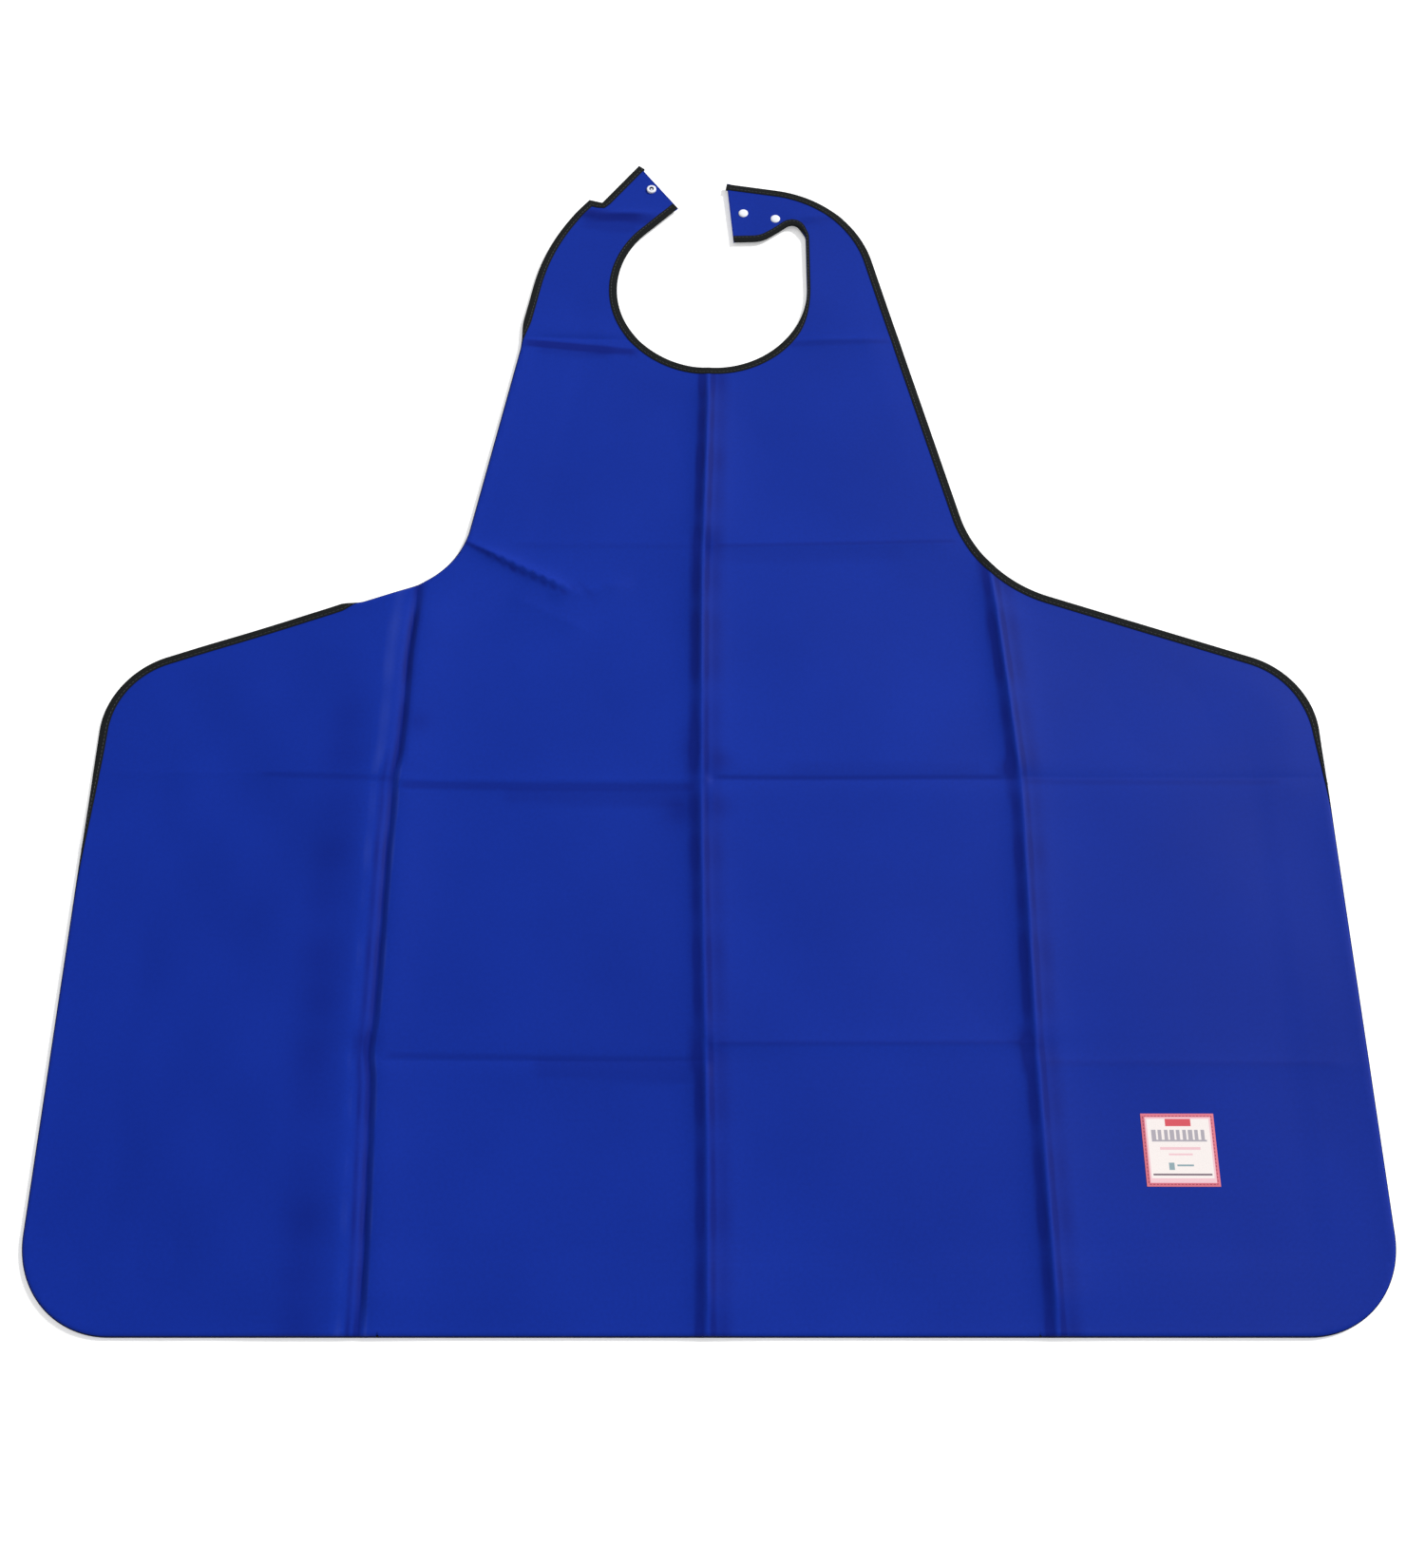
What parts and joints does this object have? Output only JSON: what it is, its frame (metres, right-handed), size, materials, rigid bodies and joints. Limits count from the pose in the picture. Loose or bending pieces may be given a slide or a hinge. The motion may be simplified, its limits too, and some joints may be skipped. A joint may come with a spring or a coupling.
{
  "type": "welding apron",
  "caption": "Wide bib-style welding apron lying flat, with bound edges, a round neck opening, press-stud neck straps and a label patch.",
  "frame": {"origin": "centre of the apron's outline, on the surface it lies on", "axes": "+Y from the hem to the neck, +X to the right as seen from the front, +Z out of the face"},
  "size_m": [0.9144, 0.9652, 0.0053],
  "materials": {
    "apron_cloth": "smooth close-woven cloth with a faint sheen",
    "binding_tape": "matt woven tape",
    "snap_plastic": "glossy moulded resin",
    "label_cloth": "satin-woven label with a red border"
  },
  "bodies": {
    "skirt": {"skirt_centre_panel": "apron_cloth", "hem_binding": "binding_tape", "left_armhole_binding": "binding_tape", "right_armhole_binding": "binding_tape"},
    "left_wing": {"left_wing_panel": "apron_cloth", "left_wing_binding": "binding_tape"},
    "right_wing": {"right_wing_panel": "apron_cloth", "right_wing_binding": "binding_tape", "label_patch": "label_cloth"},
    "bib": {"bib_panel": "apron_cloth", "left_bib_binding": "binding_tape", "right_bib_binding": "binding_tape", "neck_binding_front": "binding_tape"},
    "left_strap": {"left_strap_panel": "apron_cloth", "left_strap_binding": "binding_tape", "neck_binding_left": "binding_tape", "left_snap_socket": "snap_plastic", "left_snap_cap": "snap_plastic"},
    "right_strap": {"right_strap_panel": "apron_cloth", "right_strap_binding": "binding_tape", "neck_binding_right": "binding_tape", "right_snap_cap_1": "snap_plastic", "right_snap_stud_1": "snap_plastic", "right_snap_cap_2": "snap_plastic", "right_snap_stud_2": "snap_plastic"}
  },
  "joints": [
    {"name": "left_wing_fold", "type": "hinge", "parent": "skirt", "child": "left_wing", "pos_m": [-0.23, -0.2, 0.006], "axis": [0, 1, 0], "range_deg": [0, 176]},
    {"name": "right_wing_fold", "type": "hinge", "parent": "skirt", "child": "right_wing", "pos_m": [0.23, -0.2, 0.006], "axis": [0, -1, 0], "range_deg": [0, 176]},
    {"name": "bib_fold", "type": "hinge", "parent": "skirt", "child": "bib", "pos_m": [0, 0.1073, 0.006], "axis": [1, 0, 0], "range_deg": [0, 165]},
    {"name": "left_strap_fold", "type": "hinge", "parent": "bib", "child": "left_strap", "pos_m": [-0.11, 0.3009, 0.006], "axis": [-1, 0, 0], "range_deg": [-176, 0]},
    {"name": "right_strap_fold", "type": "hinge", "parent": "bib", "child": "right_strap", "pos_m": [0.11, 0.3009, 0.006], "axis": [-1, 0, 0], "range_deg": [-176, 0]}
  ]
}
